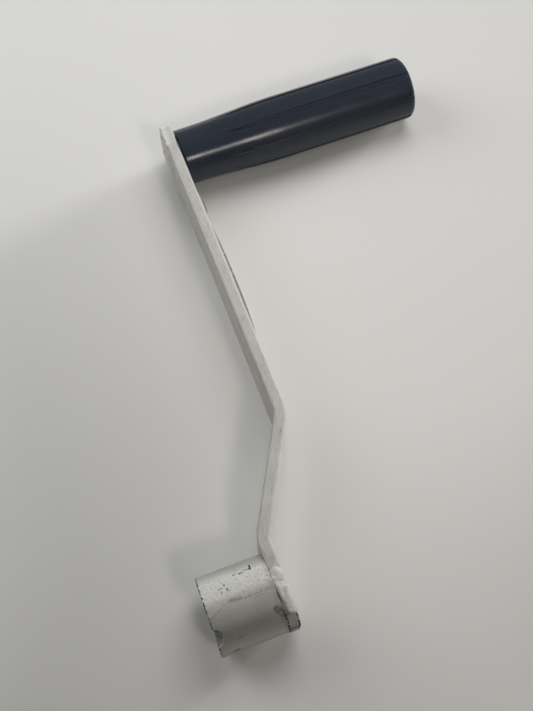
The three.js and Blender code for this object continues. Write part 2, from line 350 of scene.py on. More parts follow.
def grip_plastic():
    """Dark navy moulded plastic: glossy, a little rubbed by hands, with faint flow marks."""
    shader = Shader("grip_plastic")
    clouds = shader.ramp(shader.noise(20, 4), 0.3, 0.7)
    colour = shader.blend(clouds, (0.0180, 0.0235, 0.0385, 1), (0.0215, 0.0280, 0.0450, 1))
    dust = shader.math("MULTIPLY", shader.specks(5, 0.22), shader.ramp(shader.noise(11), 0.50, 0.60))
    colour = shader.blend(shader.math("MULTIPLY", dust, 0.2), colour, grey(0.16, 0.05))
    hairs = shader.ramp(shader.noise(0.8, 2, stretch=(0.04, 1, 1)), 0.66, 0.72)
    relief = shader.bump(shader.noise(0.5, 3), 0.004)
    relief = shader.bump(shader.noise(6, 2), 0.015, relief)
    relief = shader.bump(hairs, 0.003, relief)
    groove_shade = shader.attribute("groove_shade")
    # Painted shading: the flute walls are painted darker.
    colour = shader.blend(shader.math("MULTIPLY", groove_shade, 0.85), colour, (0.003, 0.004, 0.007, 1))
    rough = shader.ramp(shader.noise(8, 5), 0.3, 0.7, 0.18, 0.24)
    rough = shader.math("MULTIPLY_ADD", groove_shade, 0.35, rough)
    shader.set(Base_Color=colour, Roughness=rough, Normal=relief, Specular_IOR_Level=0.35)
    return shader.material


def cap_plastic():
    """The same plastic with the fine spark texture of a small moulding."""
    shader = Shader("cap_plastic")
    colour = shader.blend(shader.noise(6), (0.0085, 0.0115, 0.0200, 1), (0.0120, 0.0150, 0.0240, 1))
    relief = shader.bump(shader.noise(0.35, 4, 0.7), 0.03)
    rough = shader.ramp(shader.noise(3, 4), 0.3, 0.7, 0.45, 0.60)
    shader.set(Base_Color=colour, Roughness=rough, Normal=relief)
    return shader.material


def steel(name, light, dark, roughness, stretch):
    """Bare or plated steel with drawing lines that run where stretch is small."""
    shader = Shader(name)
    lines = shader.noise(0.25, 3, stretch=stretch)
    tarnish = shader.ramp(shader.noise(5, 5), 0.35, 0.7)
    colour = shader.blend(tarnish, light, dark)
    relief = shader.bump(lines, 0.01)
    rough = shader.ramp(shader.noise(2.5, 4), 0.3, 0.7, roughness - 0.07, roughness + 0.10)
    shader.set(Base_Color=colour, Roughness=rough, Normal=relief, Metallic=1.0)
    return shader.material


def floor_material():
    shader = Shader("floor")
    tone = shader.blend(shader.noise(160, 2), grey(0.80, 0.02), grey(0.82, 0.02))
    shader.set(Base_Color=tone, Roughness=0.75)
    return shader.material


# ---- Arm ----------------------------------------------------------------------------------

BEND_STEPS = 14
CORNER_COLUMNS = 5  # columns round each of the bar's rounded edges
EDGE_COLUMNS = 5  # steps across the bar's thickness
FACE_COLUMNS = 44  # steps across its broad faces
BESIDE_CORNER = 0.03  # the step beside a rounded edge, as a part of the whole way across

# The arm's far top edge is rolled over into two low lips, painted dark as shade: middle, half length,
# height.
LIPS = ((128, 29, 1.5), (167, 6, 1.3))
LIP_DROP = 3.0  # from the arm's top to the lip's crest
ROUGH_CORNER = 13  # the rough patch on the outer face starts this far before the tip
ROUGH_RELIEF = 0.45
END_FACE_SHARE = 0.7  # the part of the arm's end faces that the worn edges leave alone
END_FACE_EDGE = 0.2  # how much that part wears, where an edge is 1


def eased_route(start, bends, end, stretches):
    """A route through bends, each a corner and the length of its easing on both sides.

    stretches holds, for each straight stretch, how many parts of it are sampled, as fractions.
    """
    stops = [*bends, (end, 0)]
    points = []
    leave = start
    for index, ((corner, ease), fractions) in enumerate(zip(stops, stretches)):
        inward = (corner - leave) / np.linalg.norm(corner - leave)
        enter = corner - inward * ease
        points += [leave + (enter - leave) * part for part in fractions]
        if ease == 0:
            continue
        onward = stops[index + 1][0] - corner
        leave = corner + onward / np.linalg.norm(onward) * ease
        for part in np.linspace(0, 1, BEND_STEPS + 2)[1:-1]:
            points.append((1 - part) ** 2 * enter + 2 * part * (1 - part) * corner + part ** 2 * leave)
    return np.array(points)


def arm_faces():
    """The plan of the arm's two broad faces, as matching routes of (x, y) points."""
    turn = math.atan2(JOGGLE, HIGH_BEND_Y - LOW_BEND_Y)
    shift = BAR_THICKNESS / 2 * math.tan(turn / 2)
    inner = INNER_BEND_RADIUS * math.tan(turn / 2)
    outer = OUTER_BEND_RADIUS * math.tan(turn / 2)
    hub = graded(LOW_BEND_Y - HUB_END_Y, dense_start=True)
    slant = graded(math.hypot(JOGGLE, HIGH_BEND_Y - LOW_BEND_Y))
    straight = graded(ARM_TIP_Y - HIGH_BEND_Y, dense_end=True)
    stretches = [stretch / stretch[-1] for stretch in (hub, slant, straight)]
    routes = []
    for x, side, low_ease, high_ease in ((0, 1, outer, inner), (BAR_THICKNESS, -1, inner, outer)):
        bends = [
            (np.array([x, LOW_BEND_Y + side * shift]), low_ease),
            (np.array([x + JOGGLE, HIGH_BEND_Y + side * shift]), high_ease),
        ]
        start = np.array([x, HUB_END_Y])
        end = np.array([x + JOGGLE, ARM_TIP_Y])
        routes.append(eased_route(start, bends, end, stretches))
    return routes


def arm_half_height(y):
    """Half the bar's width at y: full along most of it, cut back at the hub and eased at the tip."""
    full = BAR_HALF_WIDTH
    from_hub = y - HUB_END_Y
    slope = HUB_CORNER_ACROSS / HUB_CORNER_ALONG
    softness = 0.35
    cut = full - HUB_CORNER_ACROSS + slope * from_hub
    hub = (cut + full - math.sqrt((cut - full) ** 2 + softness ** 2)) / 2
    into_tip = max(0.0, TIP_CORNER - (ARM_TIP_Y - y)) / TIP_CORNER
    tip = full - TIP_CORNER * (1 - math.sqrt(1 - 0.98 * into_tip ** 2))
    return min(hub, tip)


def bar_section(half_height, inset):
    """Points round a rounded rectangle as (across, z, edge): edge is 1 on the rounded corners."""
    radius = BAR_EDGE_RADIUS
    core = np.array([BAR_THICKNESS / 2 - radius, half_height - radius])
    corner_turns = np.radians(np.linspace(0, 90, CORNER_COLUMNS))
    section = []
    for quarter, sign in enumerate(((1, 1), (-1, 1), (-1, -1), (1, -1))):
        centre = core * sign
        for turn in corner_turns + math.radians(90 * quarter):
            across, up = centre + (radius - inset) * np.array([math.cos(turn), math.sin(turn)])
            section.append((across, up, 1.0))
        after = core * ((-1, 1), (-1, -1), (1, -1), (1, 1))[quarter]
        outward = (radius - inset) * np.array([math.cos(turn), math.sin(turn)])
        steps = EDGE_COLUMNS if quarter % 2 == 0 else FACE_COLUMNS
        beside_corners = (BESIDE_CORNER, 1 - BESIDE_CORNER)
        for part in (beside_corners[0], *np.linspace(0, 1, steps + 1)[1:-1], beside_corners[1]):
            across, up = centre + (after - centre) * part + outward
            section.append((across, up, 0.35 if part in beside_corners else 0.0))
    return np.array(section)


def arm_lips(points):
    """How far the lips push each point of the arm out, past the face on the grip's side."""
    bulge = np.zeros(len(points))
    for middle, half_length, height in LIPS:
        along = 1 - ((points[:, 1] - middle) / half_length) ** 2
        bulge += height * np.sqrt(np.maximum(along, 0))
    crest = np.exp(-((points[:, 2] - BAR_HALF_WIDTH + LIP_DROP) / 1.5) ** 2)
    far_face = smoothstep(points[:, 0], JOGGLE + BAR_THICKNESS - 1, JOGGLE + BAR_THICKNESS - 0.3)
    return bulge * crest * far_face


def rough_corner(points):
    """The weld-spattered upper corner of the arm's outer face, above a ragged line: 1 inside."""
    slope = 2 * BAR_HALF_WIDTH / ROUGH_CORNER
    line = BAR_HALF_WIDTH - slope * (points[:, 1] - ARM_TIP_Y + ROUGH_CORNER)
    line = line + 1.6 * bumpiness(points, 3)
    outer_face = 1 - smoothstep(points[:, 0], JOGGLE + 0.8, JOGGLE + 2.6)
    return smoothstep(points[:, 2] - line, 0, 4) * outer_face


def drawn_in(ring):
    middle = ring.mean(axis=0)
    return middle + (ring - middle) * END_FACE_SHARE


def with_drawn_in_ends(rings):
    """The rings with one more at each end, drawn in on its flat face, so that the worn edge stops there."""
    return [drawn_in(rings[0]), *rings, drawn_in(rings[-1])]


def mark_arm(arm, points, places, edge, rough, lip):
    """Stores the arm's wear, painted shading, dirt with painted shading, and roughness from its points and
    their unbent places.
    """
    x, y, z = points.T
    hub_end = smoothstep(-y, -HUB_END_Y - 1.2, -HUB_END_Y)
    tip_end = smoothstep(y, ARM_TIP_Y - 1.5, ARM_TIP_Y)
    corner_end = HUB_END_Y + HUB_CORNER_ALONG
    cut_corner = 1 - smoothstep(y, corner_end - 0.3, corner_end + 0.8)
    worn_edge = 0.42 + 0.16 * hub_end + 0.13 * tip_end + 0.34 * cut_corner * (1 - hub_end)
    worn_edge += 0.22 * rough * (1 - tip_end)
    store(arm, "wear", worn_edge * edge + 0.36 * hub_end + 0.13 * tip_end)
    # Painted shade: the hub's cut corner and both broad faces are painted darker.
    broad_faces = smoothstep(np.abs(places[:, 0]), 1.8, 2.4)
    store(arm, "shade", np.maximum(0.30 * cut_corner, 0.19 * broad_faces))
    upper_edge = smoothstep(z, 10, 12)
    # Painted shade on the top edge just past the weld.
    step_shade = np.exp(-((y - 9) / 5) ** 2) * upper_edge
    # The lips are painted dark, as painted shade along them.
    crest = BAR_HALF_WIDTH - LIP_DROP
    lip_shade = smoothstep(lip, 0.04, 0.60) * smoothstep(z, crest - 0.9, crest + 0.3)
    # Sooty darkening beside the weld, with painted shade in the join with the socket.
    soot_and_shade = np.exp(-((y + 9.6) / 2.2) ** 2) * upper_edge * (1 - smoothstep(x, 1.2, 2.6))
    # The hub's end face is darker, and the painted shade past the weld is added.
    grime_and_shade = np.clip(0.85 * hub_end + 0.25 * step_shade, 0, 1)
    store(arm, "grime_and_shade", grime_and_shade + 1.4 * lip_shade + 1.3 * soot_and_shade)
    # The rough corner is painted lighter in the material, partly as painted light.
    store(arm, "rough", 0.8 * rough)


def build_arm(material):
    left, right = arm_faces()
    middle = (left + right) / 2
    run = np.concatenate([[0], np.cumsum(np.linalg.norm(np.diff(middle, axis=0), axis=1))])
    rings = []
    edge = []
    flow = []
    for near, far, y, along in zip(left, right, middle[:, 1], run):
        from_end = min(y - HUB_END_Y, ARM_TIP_Y - y)
        into_edge = max(0.0, BAR_EDGE_RADIUS - from_end)
        inset = BAR_EDGE_RADIUS - math.sqrt(BAR_EDGE_RADIUS ** 2 - 0.97 * into_edge ** 2)
        section = bar_section(arm_half_height(y), inset)
        share = section[:, :1] / BAR_THICKNESS + 0.5
        flat = near + (far - near) * share
        rings.append(np.column_stack([flat, section[:, 1]]))
        flow.append(np.column_stack([section[:, 0], np.full(len(section), along), section[:, 1]]))
        edge.append(np.maximum(section[:, 2], smoothstep(into_edge, 0, BAR_EDGE_RADIUS)))
    rings = with_drawn_in_ends(rings)
    flow = with_drawn_in_ends(flow)
    columns = len(rings[0])
    points = np.vstack(rings)
    inside = smoothstep(np.minimum(points[:, 1] - HUB_END_Y, ARM_TIP_Y - points[:, 1]), 0, 2)
    points += wobble(points, 6, 0.05) * inside[:, None]
    lip = arm_lips(points)
    rough = rough_corner(points)
    points[:, 0] += lip - ROUGH_RELIEF * rough * (1 + bumpiness(points, 1.8)) * inside
    faces = quad_grid(len(rings), columns)
    points = close_end(points, faces, 0, columns, outwards=False)
    points = close_end(points, faces, (len(rings) - 1) * columns, columns, outwards=True)
    arm = mesh_object("arm_bar", points, faces)
    places = np.vstack([*flow, (0, 0, 0), (0, run[-1], 0)])
    store_flow(arm, places)
    end_face = np.full(columns, END_FACE_EDGE)
    edge = np.concatenate([end_face, *edge, end_face, [END_FACE_EDGE, END_FACE_EDGE]])
    end_middles = [0, 0]
    rough = np.concatenate([rough, end_middles])
    lip = np.concatenate([lip, end_middles])
    mark_arm(arm, points, places, edge, rough, lip)
    finish_piece(arm, "crank", "arm_paint", material, "arm")


# ---- Socket -------------------------------------------------------------------------------

OUTSIDE_ROWS = 100
BORE_ROWS = 50

# Marks on the socket's outside, each a half width in millimetres, a strength and a path of
# (x, angle in degrees from +Y) points.
KNOCKS = (
    (0.42, 0.95, ((-6, 43), (-6, 52))),
    (0.30, 0.90, ((-6, 51), (-8.5, 50))),
    (0.28, 0.85, ((-9, 53), (-11, 53))),
    (0.45, 0.85, ((-12.4, 51), (-13, 52))),
    (0.22, 0.75, ((-8, 62), (-9, 64))),
    (0.20, 0.70, ((-12, 66), (-13.5, 67))),
    (0.28, 0.80, ((-17.4, 61), (-17.4, 64))),
    (0.35, 0.90, ((-16.8, 69), (-16.8, 72))),
    (0.30, 0.85, ((-18.3, 66), (-19.2, 66))),
    (0.28, 0.80, ((-19, 71), (-19.2, 74))),
    (0.28, 0.80, ((-19.7, 67), (-21.2, 67))),
    (0.20, 0.70, ((-20.6, 70), (-21.4, 68))),
    (0.22, 0.65, ((-23.5, 64), (-24, 64))),
    (0.30, 0.74, ((-16.5, 138), (-19, 143))),
    (0.25, 0.70, ((-21, 138), (-21, 152))),
    (0.70, 0.92, ((-19.7, 166), (-22, 168))),
    (0.26, 0.95, ((-1.9, 118), (-0.7, 121), (-0.1, 127))),
)
SCUFFS = (
    (0.24, 0.60, ((-26.4, 102), (-22.5, 95), (-19.4, 89), (-17, 87), (-10.7, 91), (-6, 90), (-1.4, 90.5))),
    (0.50, 0.75, ((-26.6, 102), (-24.4, 98))),
    (0.45, 0.50, ((-11.5, 90.5), (-8.5, 90), (-1.2, 89))),
    (0.35, 0.35, ((-9, 94), (-4, 93.5))),
)
SMUDGE = (0.9, 0.45, ((-13.3, 87), (-17.0, 87.5)))
# Sooty darkening on the tube beside the weld, partly painted shade in the join.
WELD_SOOT_AND_SHADE = (1.2, 1.4, ((-2.0, 118.5), (-1.2, 123), (-0.2, 130)))


def column_angles():
    """Angles of the tube's columns at its outer and inner radius, and how deep the notch is there."""
    reach = math.acos(NOTCH_CENTRE_OUTSIDE / NOTCH_RADIUS)
    arc = np.linspace(-reach, reach, 25)
    across = NOTCH_RADIUS * np.sin(arc)
    depth = NOTCH_RADIUS * np.cos(arc) - NOTCH_CENTRE_OUTSIDE
    plain = 150
    sides = []
    for radius in (SOCKET_RADIUS, SOCKET_BORE_RADIUS):
        notch = np.arcsin(across / radius)
        gap = np.linspace(notch[-1], math.pi + notch[0], plain + 2)[1:-1]
        half_turn = np.concatenate([notch, gap]) + NOTCH_ANGLE
        sides.append(np.concatenate([half_turn, half_turn + math.pi]))
    depth = np.concatenate([depth, np.zeros(plain)])
    return sides[0], sides[1], np.concatenate([depth, depth])


def socket_profile():
    """Round the tube's wall as (radius, distance from the mouth's edge), starting on the outside."""
    edge = SOCKET_EDGE_RADIUS
    turns = np.radians(np.linspace(0, 90, 6))
    rows = [(SOCKET_RADIUS, step) for step in np.linspace(SOCKET_LENGTH, edge, OUTSIDE_ROWS)]
    rows += [(SOCKET_RADIUS - edge * (1 - math.cos(t)), edge * (1 - math.sin(t))) for t in turns[1:]]
    rows += [(radius, 0) for radius in np.linspace(SOCKET_RADIUS - edge, SOCKET_BORE_RADIUS + edge, 7)[1:-1]]
    rows += [(SOCKET_BORE_RADIUS + edge * (1 - math.sin(t)), edge * (1 - math.cos(t))) for t in turns]
    rows += [(SOCKET_BORE_RADIUS, step) for step in np.linspace(edge, SOCKET_LENGTH, BORE_ROWS)[1:]]
    return rows


def mark(x, angle, half_width, strength, path):
    """How strongly each point of the tube is marked by a path drawn on it, up to its strength."""
    per_degree = math.radians(1) * SOCKET_RADIUS
    here = np.column_stack([x, angle * per_degree])
    corners = np.array(path) * (1, per_degree)
    gap = np.full(len(x), np.inf)
    for tail, head in zip(corners, corners[1:]):
        run = head - tail
        along = np.clip((here - tail) @ run / np.dot(run, run), 0, 1)
        gap = np.minimum(gap, np.linalg.norm(here - tail - along[:, None] * run, axis=1))
    return strength * (1 - smoothstep(gap, 0.5 * half_width, 1.4 * half_width))


def mark_socket(tube, points, rim, in_notch):
    """Stores the tube's wear, rust, dirt with painted shading, painted shading and roughness; rim is highest
    at its mouth's edge.
    """
    x = points[:, 0]
    angle = np.degrees(np.arctan2(points[:, 2], points[:, 1]))
    around = angle % 360
    outside = np.hypot(points[:, 1], points[:, 2]) > SOCKET_RADIUS - SOCKET_EDGE_RADIUS
    # The knocked band on the tube's upper side, which is also painted lighter as painted light.
    knocked_and_lit_side = smoothstep(angle, 38, 54) * (1 - smoothstep(angle, 76, 88))
    wear = np.maximum((0.74 - 0.30 * in_notch) * rim, 0.56 * knocked_and_lit_side)
    for knock in KNOCKS:
        wear = np.maximum(wear, mark(x, angle, *knock) * outside)
    store(tube, "wear", wear)
    scuffed = np.max([mark(x, angle, *scuff) for scuff in SCUFFS], axis=0)
    store(tube, "rust", scuffed * outside)
    # Darker next to the arm, beside the weld and in the bore: dirt and dark steel, partly painted shade in
    # the join and the bore.
    near_arm = smoothstep(x, -2.2, -0.2)
    grime_and_shade = 0.35 * near_arm + mark(x, angle, *SMUDGE) + mark(x, angle, *WELD_SOOT_AND_SHADE)
    store(tube, "grime_and_shade", np.clip(grime_and_shade * outside + 0.9 * (1 - outside), 0, 1))
    # Painted shade: the tube's lower side and underside are painted darker, with a little dirt.
    low_side = 0.56 * np.exp(-((around - 124) / 28) ** 2)
    below_scuff = 0.06 * smoothstep(around, 84, 90) * (1 - smoothstep(around, 96, 110))
    underside = 0.34 * np.maximum(1 - smoothstep(around, 22, 44), smoothstep(around, 160, 178))
    store(tube, "shade", low_side + below_scuff + underside)
    # The knocked band is painted lighter here, as painted light on the tube's upper side.
    store(tube, "rough", 0.65 * knocked_and_lit_side * outside)


def build_socket(material):
    outer, inner, depth = column_angles()
    mouth = -SOCKET_LENGTH
    rings = []
    rim = []
    for radius, distance in socket_profile():
        share = (SOCKET_RADIUS - radius) / (SOCKET_RADIUS - SOCKET_BORE_RADIUS)
        angle = outer + (inner - outer) * share
        x = mouth + distance + depth * (1 - smoothstep(distance, 0, 12))
        x = np.minimum(x, 0)
        rings.append(np.column_stack([x, radius * np.cos(angle), radius * np.sin(angle)]))
        outer_edge = smoothstep(radius, SOCKET_RADIUS - 0.9, SOCKET_RADIUS - 0.3)
        rim.append(np.full(len(angle), (0.8 + 0.2 * outer_edge) * (1 - smoothstep(distance, 0.3, 1.6))))
    points = np.vstack(rings)
    ripple = 0.03 * (1 + bumpiness(points, 7))
    points[:, 1:] *= 1 - (ripple / SOCKET_RADIUS)[:, None]
    tube = mesh_object("socket_tube_body", points, quad_grid(len(rings), len(outer), closed=True))
    in_notch = np.tile(smoothstep(depth, 0, 0.5), len(rings))
    mark_socket(tube, points, np.concatenate(rim), in_notch)
    finish_piece(tube, "crank", "socket_paint", material, "socket_tube")


# ---- Welds --------------------------------------------------------------------------------

BEAD_VOXEL = 0.3


def lump_mesh(name, lumps):
    """One skin round overlapping egg-shaped lumps, each a centre and three half sizes."""
    work = bmesh.new()
    for centre, half in lumps:
        place = Matrix.Translation(centre) @ Matrix.Diagonal((*half, 1))
        bmesh.ops.create_icosphere(work, subdivisions=3, radius=1, matrix=place)
    raw = bpy.data.meshes.new(name + "_raw")
    work.to_mesh(raw)
    work.free()
    source = bpy.data.objects.new(name + "_raw", raw)
    bpy.context.scene.collection.objects.link(source)
    remesh = source.modifiers.new("skin", "REMESH")
    remesh.mode = "VOXEL"
    remesh.voxel_size = BEAD_VOXEL
    soften = source.modifiers.new("soften", "SMOOTH")
    soften.factor = 0.5
    soften.iterations = 9
    skin = bpy.data.meshes.new_from_object(source.evaluated_get(bpy.context.evaluated_depsgraph_get()))
    points = np.array([vertex.co for vertex in skin.vertices])
    faces = [tuple(polygon.vertices) for polygon in skin.polygons]
    bpy.data.objects.remove(source)
    return points, faces


def lumps_between(start, end, start_half, end_half, count):
    """Evenly spaced lumps whose centres and half sizes both change steadily from start to end."""
    lumps = []
    for part in np.linspace(0, 1, count):
        centre = (1 - part) * np.array(start) + part * np.array(end)
        half = (1 - part) * np.array(start_half) + part * np.array(end_half)
        lumps.append((centre, half))
    return lumps


def socket_weld_lumps():
    """A fat lobe at the bend, then a broad flat run that narrows towards the hub's end."""
    top = BAR_HALF_WIDTH
    lobe = [((2.3, 3.7, top + 0.2), (3.0, 3.7, 2.2))]
    ridge = lumps_between(
        (3.5, -1.6, top), (3.7, -10.4, top - 0.3), (1.9, 1.7, 1.9), (1.6, 1.4, 1.2), 8,
    )
    fillet = lumps_between(
        (0.8, 2.6, top + 1.2), (2.7, -9.6, top - 0.4), (1.5, 1.6, 1.5), (1.5, 1.4, 1.3), 9,
    )
    filling = lumps_between(
        (2.2, 0.5, top + 0.3), (3.2, -10.0, top - 0.3), (1.8, 1.5, 1.7), (1.6, 1.3, 1.3), 8,
    )
    return lobe + ridge + fillet + filling


def build_socket_weld(side, name, node, material):
    points, faces = lump_mesh(name, socket_weld_lumps())
    points += wobble(points, 2.6, 0.30) + wobble(points, 0.9, 0.10)
    points[:, 0] = np.maximum(points[:, 0], -0.6)
    if side < 0:
        points = points * (1, 1, -1) + (0.2, 0.4, 0)
    bead = mesh_object(name, points, faces)
    toe = (1 - smoothstep(points[:, 0], 0.4, 1.6)) * smoothstep(-points[:, 1], 0, 4)
    hub_side = smoothstep(-points[:, 1], 7, 11)
    low = 1 - smoothstep(np.abs(points[:, 2]), BAR_HALF_WIDTH, BAR_HALF_WIDTH + 0.8)
    # The bead is darker low down, at its toe on the socket and towards the hub: dirt with painted shade in
    # the joins.
    store(bead, "wear", 0.30 + 0.15 * hub_side)
    store(bead, "grime_and_shade", np.clip(0.35 * low + 0.3 * toe + 0.2 * hub_side, 0, 1))
    store(bead, "rust", 0.35 * toe)
    finish_piece(bead, "crank", "weld_paint", material, node)


def build_spindle_weld(material):
    """The spindle's weld on the arm's outer face: a low mound with an uneven rim, dressed flat on top."""
    rings_count, columns = 24, 96
    face = JOGGLE + 0.1
    height = 0.1 - (weld_low[0] - JOGGLE)
    turns = np.linspace(0, 2 * math.pi, columns, endpoint=False)
    rings = []
    for share in np.linspace(1, 0.04, rings_count):
        ragged = 0.93 + 0.035 * np.sin(2 * turns + 1) + 0.02 * np.sin(5 * turns)
        radius = SPINDLE_WELD_RADIUS * share * ragged
        rise = height * (1 - smoothstep(share, 0.6, 1.0))
        rings.append(np.column_stack([
            np.full(columns, face - rise),
            GRIP_AXIS_Y + radius * np.cos(turns),
            radius * np.sin(turns),
        ]))
    points = np.vstack(rings)
    points[columns:, 0] += 0.12 * (1 + bumpiness(points[columns:], 2.4))
    faces = quad_grid(rings_count, columns)
    points = close_end(points, faces, 0, columns, outwards=False)
    points = close_end(points, faces, (rings_count - 1) * columns, columns, outwards=True)
    mound = mesh_object("spindle_weld_mound", points, faces)
    store(mound, "wear", np.full(len(points), 0.30))
    store(mound, "grime_and_shade", np.full(len(points), 0.35))
    finish_piece(mound, "crank", "weld_paint", material, "spindle_weld")


# ---- Grip ---------------------------------------------------------------------------------


def grip_radius(distance):
    swell = smoothstep(distance, GRIP_FLARE_START, GRIP_FLARE_END)
    return GRIP_BASE_RADIUS + (GRIP_RADIUS - GRIP_BASE_RADIUS) * swell


def grip_columns():
    """Angles round the grip, close together across each flute and wider between them."""
    pitch = 2 * math.pi / FLUTE_COUNT
    half = math.radians(8)
    across = np.linspace(-half, half, 33)
    between = np.linspace(half, pitch - half, 14)[1:-1]
    one = np.concatenate([across, between])
    return np.concatenate([one + FLUTE_FIRST_ANGLE + pitch * index for index in range(FLUTE_COUNT)])


def fluted(radius, distance, angles):
    """The radius at each angle once the flutes are cut, with their edges a little softened."""
    depth = FLUTE_DEPTH * smoothstep(distance, FLUTE_START, FLUTE_FULL)
    reach = grip_radius(distance) + FLUTE_CUTTER_RADIUS - depth
    pitch = 2 * math.pi / FLUTE_COUNT
    off = (angles - FLUTE_FIRST_ANGLE + pitch / 2) % pitch - pitch / 2
    chord = FLUTE_CUTTER_RADIUS ** 2 - (reach * np.sin(off)) ** 2
    floor = np.where(chord > 0, reach * np.cos(off) - np.sqrt(np.maximum(chord, 0)), radius + 1)
    softness = 0.05
    return (radius + floor - np.sqrt((radius - floor) ** 2 + softness ** 2)) / 2


def shaded_groove_walls(radius, distance, angles):
    """Where the walls of the flutes are, from 0 to 1: painted shading darkens them there."""
    if not FLUTE_START < distance < GRIP_LENGTH - GRIP_END_ROUND:
        return np.zeros(len(angles))
    share = np.clip((grip_radius(distance) - radius) / FLUTE_DEPTH, 0, 1)
    return 4 * share * (1 - share)


def build_grip(material):
    angles = grip_columns()
    tip = GRIP_LENGTH
    turns = np.radians(np.linspace(0, 90, 9))
    profile = [(GRIP_BASE_RADIUS - GRIP_BASE_ROUND * (1 - math.sin(t)), GRIP_BASE_ROUND * (1 - math.cos(t)))
               for t in turns]
    flute_start = np.arange(FLUTE_START - 1, FLUTE_FULL + 1, 0.4)
    stations = [*np.linspace(1, FLUTE_START - 2, 18), *flute_start]
    stations += [*np.linspace(FLUTE_FULL + 2, tip - GRIP_END_ROUND, 60)]
    outer = [(grip_radius(station), station) for station in stations]
    outer += [(GRIP_RADIUS - GRIP_END_ROUND * (1 - math.cos(t)), tip - GRIP_END_ROUND * (1 - math.sin(t)))
              for t in turns[1:]]
    rings = [(np.full(len(angles), radius), station) for radius, station in profile]
    rings += [(fluted(radius, station, angles), station) for radius, station in outer]
    lip = 0.35
    inner = [
        (CAP_BORE_RADIUS + lip, tip), (CAP_BORE_RADIUS + 0.1, tip - 0.1), (CAP_BORE_RADIUS, tip - lip),
        (CAP_BORE_RADIUS, tip - CAP_BORE_DEPTH), (GRIP_BORE_RADIUS, tip - CAP_BORE_DEPTH),
        (GRIP_BORE_RADIUS, lip), (GRIP_BORE_RADIUS + 0.1, 0.1), (GRIP_BORE_RADIUS + lip, 0),
    ]
    rings += [(np.full(len(angles), radius), station) for radius, station in inner]
    points = np.vstack([
        np.column_stack([
            np.full(len(angles), GRIP_BASE_X + station),
            GRIP_AXIS_Y + radius * np.cos(angles),
            radius * np.sin(angles),
        ])
        for radius, station in rings
    ])
    sleeve = mesh_object("grip_sleeve_body", points, quad_grid(len(rings), len(angles), closed=True))
    store(sleeve, "groove_shade", np.concatenate([
        shaded_groove_walls(radius, station, angles) for radius, station in rings
    ]))
    finish_piece(sleeve, "grip", "grip_plastic", material, "grip_sleeve")


def build_end_cap(material):
    """A snap-in cap: a shallow dish with a raised middle button, and a skirt behind it."""
    columns = 120
    face = cap_high[0]
    back = face - 2.4
    wall = 1.3
    outline = [
        (0.4, face - 0.35), (3.0, face - 0.35), (3.5, face - 0.45), (4.0, face - 0.75), (7.6, face - 0.75),
        (8.2, face - 0.55), (8.6, face - 0.1), (9.0, face), (CAP_RADIUS - 0.4, face),
        (CAP_RADIUS - 0.1, face - 0.12), (CAP_RADIUS, face - 0.45), (CAP_RADIUS, cap_low[0]),
        (CAP_RADIUS - wall, cap_low[0]), (CAP_RADIUS - wall, back), (0.4, back),
    ]
    turns = np.linspace(0, 2 * math.pi, columns, endpoint=False)
    points = np.vstack([
        np.column_stack([
            np.full(columns, x), GRIP_AXIS_Y + radius * np.cos(turns), radius * np.sin(turns),
        ])
        for radius, x in outline
    ])
    faces = quad_grid(len(outline), columns)
    points = close_end(points, faces, 0, columns, outwards=True)
    points = close_end(points, faces, (len(outline) - 1) * columns, columns, outwards=False)
    cap = mesh_object("end_cap_moulding", points, faces)
    finish_piece(cap, "grip", "cap_plastic", material, "end_cap")


# ---- Hardware kept from the frame ---------------------------------------------------------


def finish_hardware():
    drawn = steel("drawn_bar", grey(0.45), grey(0.30, 0.05), 0.30, (0.05, 1, 1))
    zinc = steel("zinc_plate", grey(0.24, -0.01), grey(0.15, 0.03), 0.50, (1, 0.4, 0.4))
    spring = steel("dark_spring_steel", grey(0.20, -0.02), grey(0.11, 0.05), 0.42, (1, 0.4, 0.4))
    finishes = {
        "spindle": ("spindle_steel", drawn),
        "thrust_washer": ("washer_steel", zinc),
        "end_washer": ("washer_steel", zinc),
        "push_nut": ("spring_steel", spring),
    }
    for node, (slot, material) in finishes.items():
        piece = frame["nodes"][node]
        piece.data.materials.clear()
        piece.data.materials.append(material)


# ---- Floor, camera and light --------------------------------------------------------------

FLOOR_HALF = 3.0


def build_floor():
    """A plain sheet that touches both the socket and the thinner grip, so it is tilted very slightly."""
    socket_bottom = to_metres([0, 0, -SOCKET_RADIUS])
    grip_bottom = to_metres([0, GRIP_AXIS_Y, -GRIP_RADIUS])
    slope = (grip_bottom[2] - socket_bottom[2]) / (grip_bottom[1] - socket_bottom[1])
    corners = []
    for x, y in ((-1, -1), (1, -1), (1, 1), (-1, 1)):
        across, along = x * FLOOR_HALF, y * FLOOR_HALF
        corners.append((across, along, socket_bottom[2] + (along - socket_bottom[1]) * slope))
    mesh = bpy.data.meshes.new("floor")
    mesh.from_pydata(corners, [], [(0, 1, 2, 3)])
    floor = bpy.data.objects.new("floor", mesh)
    bpy.context.scene.collection.objects.link(floor)
    mesh.materials.append(floor_material())


# Where the camera aims, in the crank's frame, its distance in millimetres, and its turns: about the
# vertical, down from straight above, and about its own axis.
CAMERA_TARGET = (32.4, 93.53, 0)
CAMERA_DISTANCE = 412.6
CAMERA_TURN = math.radians(-20.35)
CAMERA_TILT = math.radians(22.33)
CAMERA_ROLL = math.radians(-0.51)
CAMERA_LENS = 49.19


